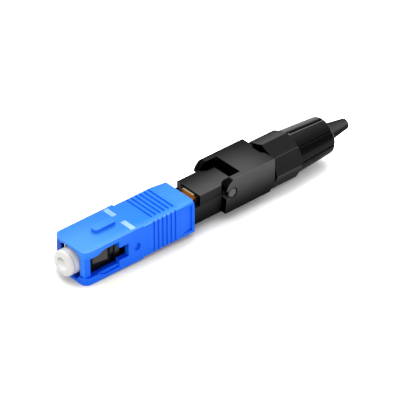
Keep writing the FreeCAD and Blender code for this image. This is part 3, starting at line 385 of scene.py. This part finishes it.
# Each plastic's low and high tones, and its paler edge tone, which is partly wear and partly a painted highlight
BLACK, DARK_GREY = ("#030303", "#060606", "#77777a"), ("#060606", "#0a0a0a", "#4a4a4c")
FRAME_PAINTED_LIGHT = [
    # Painted light on the lug that shows in the side window and on the frame's side behind it
    ("#565650", 0.9, [
        ("at", "|Y|", 3.3, 3.4), ("at", "Z", -0.42, -0.3), ("at", "X", 2.75, 2.85), ("at", "X", 6.1, 6.0),
    ]),
    ("#4a4a46", 0.9, [SIDEWAYS, ("at", "Z", -0.6, 0.2), ("at", "X", 7.1, 7.2), ("at", "X", 9.5, 9.3)]),
]
BODY_PAINTED_LIGHT_AND_SHADE = [
    # Painted light and shade: the sides paler upwards and where they stand out, and black painted shade in front
    ("#2e2e2e", 1.0, [SIDEWAYS, ("at", "Z", -3.0, 1.2)]),
    ("#68686b", 0.9, [SIDEWAYS, ("at", "|Y|", 4.5, 4.6)]),
    ("#000000", 1.0, [FORWARD, ("at", "X", 34, 33)]),
    ("#000000", 1.0, [SIDEWAYS, ("at", "|Y|", 3.3, 3.1), ("at", "X", 34, 32)]),
]
LOCK_PAINTED_LIGHT_AND_SHADE = [
    # Painted light and shade on the top, the sides, the front where it is far and near, and the inner face of the
    # far arm
    ("#4b4b4c", 1.0, [UP, ("at", "Y", 4.2, -3.4)]),
    ("#2c2c2d", 1.0, [SIDEWAYS, ("at", "Z", -1.0, 2.5)]),
    ("#4c4c4d", 1.0, [FORWARD, ("at", "Y", 1.8, 2.6)]),
    ("#9c9f9d", 1.0, [("facing", "Y", -0.5, -0.9), ("at", "Y", 1, 2), ("at", "X", 32, 30)]),
    ("#000000", 1.0, [FORWARD, ("at", "Y", 2.6, 1.8)]),
]
LEVER_PAINTED_LIGHT_AND_SHADE = [
    # Painted light and shade on the top and the sides, a painted highlight on their upper edge, and black painted
    # shade at the edge of the pin's hole and in front
    ("#474748", 1.0, [UP, ("at", "Y", 6.5, -3.5), ("at", "X", 52, 40)]),
    ("#59595a", 1.0, [SIDEWAYS, ("at", "|Y|", 4.3, 4.4), ("at", "Z", -3.0, 4.6)]),
    ("#88888a", 0.7, [SIDEWAYS, ("at", "|Y|", 4.3, 4.4), ("at", "Z", 4.02, 4.14)]),
    ("#000000", 1.0, [SIDEWAYS, ("pin", "", 1.25, 1.1)]),
    ("#000000", 1.0, [("facing", "X", -0.15, -0.45), ("at", "X", 40, 39)]),
    ("#000000", 1.0, [("facing", "Z", 0.98, 0.9), ("at", "X", 38.4, 38), ("at", "Y", 0, 1)]),
]

# The nut's flats end, and its fluted taper begins, at this X
FLATS, TAPER = ("at", "X", 54.8, 54.6), ("at", "X", 54.6, 54.8)
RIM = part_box("screw_nut")[1].x / MM
NUT_PAINTED_LIGHT_AND_SHADE = [
    # Painted light and shade, one tone for each flat, from the far side over the top to below
    ("#212122", 1.0, [FLATS]),
    ("#080808", 1.0, [FLATS, ("around", "", 2.5, 1.5)]),
    ("#3b3b3c", 1.0, [FLATS, ("around", "", -48, 5), ("around", "", 2.5, 1.5)]),
    ("#252526", 1.0, [FLATS, ("around", "", 46.5, 47.5), ("around", "", 90, 50)]),
    ("#080808", 1.0, [FLATS, ("around", "", 91.5, 92.5)]),
    ("#28282a", 1.0, [FLATS, ("around", "", 91.5, 92.5), ("around", "", 116, 95)]),
    # Painted highlights on the edges between them and on the rim at the rear
    ("#454547", 0.8, [FLATS, ("around", "", 1.6, 2.2), ("around", "", 5.5, 3.5)]),
    ("#454547", 0.6, [FLATS, ("around", "", 46, 46.8), ("around", "", 49.5, 48)]),
    ("#4c4c4e", 0.7, [FLATS, ("around", "", 91.4, 92), ("around", "", 96, 93.5)]),
    ("#77777a", 0.7, [("at", "X", RIM - 0.45, RIM - 0.2)]),
    # Painted reflections and shade on the lands between the flutes, in the same order, and black painted shade on
    # the front face
    ("#545455", 1.0, [TAPER, ("around", "", -2.5, -7)]),
    ("#636365", 1.0, [TAPER, ("around", "", 2, 7), ("around", "", 18, 10)]),
    ("#202020", 1.0, [TAPER, ("around", "", 8, 12), ("around", "", 56, 14)]),
    ("#1b1b1c", 1.0, [TAPER, ("around", "", 71, 75), ("around", "", 92, 86)]),
    ("#0f0f10", 1.0, [TAPER, ("around", "", 97, 104)]),
    ("#030303", 1.0, [("facing", "X", -0.3, -0.6)]),
]

finishes = {
    "grip_blue": moulded_blue(),
    "mark_pale": printed_mark(),
    "frame_grey": moulded_dark("dark_frame_pbt", DARK_GREY, (0.4, 0.5), FRAME_PAINTED_LIGHT),
    "ceramic_white": zirconia(),
    "holder_metal": metal("nickel_plated_brass", ("#cfc9bb", "#ddd8cc"), (0.2, 0.3), (6.0, 1.0, 1.0)),
    "spring_steel": metal("spring_steel_wire", ("#a5a8ab", "#c3c6c8"), (0.2, 0.3), (1.0, 1.0, 1.0)),
    "body_black": moulded_dark("black_body_pbt", BLACK, (0.32, 0.42), BODY_PAINTED_LIGHT_AND_SHADE),
    "fibre_glass": fibre_glass(),
    "splice_amber": amber_plastic(),
    "lock_black": moulded_dark("black_lock_pbt", BLACK, (0.3, 0.4), LOCK_PAINTED_LIGHT_AND_SHADE),
    "lever_black": moulded_dark("black_lever_pbt", BLACK, (0.3, 0.4), LEVER_PAINTED_LIGHT_AND_SHADE),
    "nut_black": moulded_dark("black_nut_pbt", BLACK, (0.3, 0.4), NUT_PAINTED_LIGHT_AND_SHADE),
    "boot_black": soft_rubber(),
    "cap_white": cap_plastic(),
}
clip_metal = metal("rolled_clip_steel", ("#9a9da0", "#b9bcbe"), (0.25, 0.35), (1.0, 5.0, 1.0))

slot_of = {row["node"]: row["material_slot"] for row in frame["record"]["subparts"]}
for name, node in frame["nodes"].items():
    finish = clip_metal if name == "splice_clip" else finishes[slot_of[name]]
    node.data.materials.clear()
    node.data.materials.append(finish)


# Floor: white paper. The camera sees it brighter than the object does, as an overexposed backdrop, and brighter
# still towards the nut, which lightens the shadow there. A painted contact shadow makes it a little deeper in the
# nooks beside the object. Its side is in metres, places along X and the nooks' reach are in millimetres, and
# shades are linear colours.
FLOOR_SIDE = 3.0
PAPER_WHITE, PAPER_BY_BLUE = (1, 1, 1, 1), (1.0, 0.955, 0.73, 1)
PAPER_UNSEEN = (0.9, 0.9, 0.9, 1)
NOOK_SHADOW_BY_BLUE, NOOK_SHADOW_BY_BLACK = (0.6, 0.54, 0.41, 1), (0.6, 0.6, 0.6, 1)
NOOK_REACH, NOOK_SAMPLES = 5.0, 12
NOOK_TO_OPEN = (0.42, 0.8)
BEFORE_BLUE, BEHIND_BLUE = (5, -1), (24, 29.5)
BEFORE_BLUE_SHARE = 0.55
SEEN_BRIGHTNESS, SEEN_BRIGHTENS = (1.32, 2.0), (25, 60)
SEEN_GLOW = 0.06


def floor_material():
    """Paper that is warmer beside the housing, to even out the blue it casts, and neutral elsewhere."""
    material = bpy.data.materials.new("white_floor")
    material.use_nodes = True
    tree = material.node_tree
    tree.nodes.clear()
    seen = add_node(tree, "ShaderNodeLightPath").outputs["Is Camera Ray"]
    place = add_node(tree, "ShaderNodeTexCoord").outputs["Object"]
    along = add_node(tree, "ShaderNodeSeparateXYZ", links={"Vector": place}).outputs["X"]
    along = math_node(tree, "DIVIDE", along, MM)
    before = math_node(tree, "MULTIPLY", rise(tree, along, *BEFORE_BLUE), BEFORE_BLUE_SHARE)
    neutral = math_node(tree, "ADD", rise(tree, along, *BEHIND_BLUE), before)
    # Painted contact shadow: darker where the object shuts out the sky close by
    contact_shade = add_node(
        tree, "ShaderNodeAmbientOcclusion", {"samples": NOOK_SAMPLES, "Distance": NOOK_REACH * MM}
    )
    shade = blend(
        tree, rise(tree, contact_shade.outputs["AO"], *NOOK_TO_OPEN),
        blend(tree, neutral, NOOK_SHADOW_BY_BLUE, NOOK_SHADOW_BY_BLACK),
        blend(tree, neutral, PAPER_BY_BLUE, PAPER_WHITE),
    )
    brightness = rise(tree, along, *SEEN_BRIGHTENS, *SEEN_BRIGHTNESS)
    bright = add_node(
        tree, "ShaderNodeVectorMath", {"operation": "SCALE"}, {0: shade, "Scale": brightness}
    ).outputs["Vector"]
    colour = blend(tree, seen, PAPER_UNSEEN, bright)
    paper = add_node(tree, "ShaderNodeBsdfDiffuse", links={"Color": colour})
    glow = add_node(
        tree, "ShaderNodeEmission", links={"Strength": math_node(tree, "MULTIPLY", seen, SEEN_GLOW)}
    )
    both = add_node(
        tree, "ShaderNodeAddShader", links={0: paper.outputs["BSDF"], 1: glow.outputs["Emission"]}
    )
    add_node(tree, "ShaderNodeOutputMaterial", links={"Surface": both.outputs["Shader"]})
    return material


def make_floor():
    """The floor, through the housing's lower front edge and the nut's lowest corner."""
    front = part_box("outer_housing")[0]
    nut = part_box("screw_nut")[0]
    lean = math.atan2(nut.z - front.z, nut.x - front.x)
    bpy.ops.object.select_all(action="DESELECT")
    bpy.ops.mesh.primitive_plane_add(size=FLOOR_SIDE)
    floor = bpy.context.active_object
    floor.name = "floor"
    floor.data.name = "floor"
    floor.data.transform(Matrix.Rotation(-lean, 4, "Y"))
    floor.data.transform(Matrix.Translation((front.x, 0, front.z)))
    floor.data.materials.append(floor_material())


make_floor()


# Camera, at the photograph's angle. The eye is in millimetres from the frame's origin, on its own axes.
AZIMUTH, ELEVATION = math.radians(-41.0792), math.radians(34.8732)
EYE_RIGHT, EYE_UP, EYE_BACK = 24.3978, 11.296, 617.984
SENSOR_WIDTH, LENS = 36.0, 297.75
CLIP_START, CLIP_END = 0.05, 10.0

right = Vector((math.cos(AZIMUTH), math.sin(AZIMUTH), 0))
back = Vector((
    math.sin(AZIMUTH) * math.cos(ELEVATION),
    -math.cos(AZIMUTH) * math.cos(ELEVATION),
    math.sin(ELEVATION),
))
up = back.cross(right)
camera_data = bpy.data.cameras.new("camera")
camera_data.sensor_width = SENSOR_WIDTH
camera_data.lens = LENS
camera_data.clip_start = CLIP_START
camera_data.clip_end = CLIP_END
camera = bpy.data.objects.new("camera", camera_data)
bpy.context.scene.collection.objects.link(camera)
eye = (EYE_RIGHT * right + EYE_UP * up + EYE_BACK * back) * MM
camera.matrix_world = Matrix.Translation(eye) @ Matrix((right, up, back)).transposed().to_4x4()
bpy.context.scene.camera = camera


# Light: one softbox, in a room that is dimmer at the height of the eye and bright overhead
OBJECT_MIDDLE = 30 * MM
HORIZON, ZENITH = 0.45, 1.15
HORIZON_ENDS, ZENITH_BEGINS = 0.12, 0.62
BACKDROP_SEEN = 1.0


def add_softbox(name, *, towards, distance, size, watts):
    """A square soft light on that side of the object, aimed at its middle, with lengths in metres."""
    lamp = bpy.data.lights.new(name, "AREA")
    lamp.shape = "SQUARE"
    lamp.size = size
    lamp.energy = watts
    holder = bpy.data.objects.new(name, lamp)
    bpy.context.scene.collection.objects.link(holder)
    side = Vector(towards).normalized()
    turn = side.to_track_quat("Z", "Y").to_matrix().to_4x4()
    holder.matrix_world = Matrix.Translation(Vector((OBJECT_MIDDLE, 0, 0)) + side * distance) @ turn
    holder.visible_glossy = False


def light_room():
    """A dome that lights the object, and shows as plain white where the camera sees it."""
    world = bpy.data.worlds.new("studio")
    bpy.context.scene.world = world
    world.use_nodes = True
    sky = world.node_tree
    sky.nodes.clear()
    way = add_node(sky, "ShaderNodeTexCoord").outputs["Generated"]
    height = add_node(sky, "ShaderNodeSeparateXYZ", links={"Vector": way}).outputs["Z"]
    dome = rise(sky, height, HORIZON_ENDS, ZENITH_BEGINS, HORIZON, ZENITH)
    seen = add_node(sky, "ShaderNodeLightPath").outputs["Is Camera Ray"]
    lit = math_node(sky, "MULTIPLY", dome, math_node(sky, "SUBTRACT", 1.0, seen))
    strength = math_node(sky, "ADD", lit, math_node(sky, "MULTIPLY", seen, BACKDROP_SEEN))
    backdrop = add_node(sky, "ShaderNodeBackground", {"Color": (1, 1, 1, 1)}, {"Strength": strength})
    add_node(sky, "ShaderNodeOutputWorld", links={"Surface": backdrop.outputs["Background"]})


add_softbox("softbox_above", towards=(0.35, 0.5, 0.8), distance=0.5, size=0.4, watts=1.6)
light_room()

bpy.context.scene.view_settings.view_transform = "Standard"
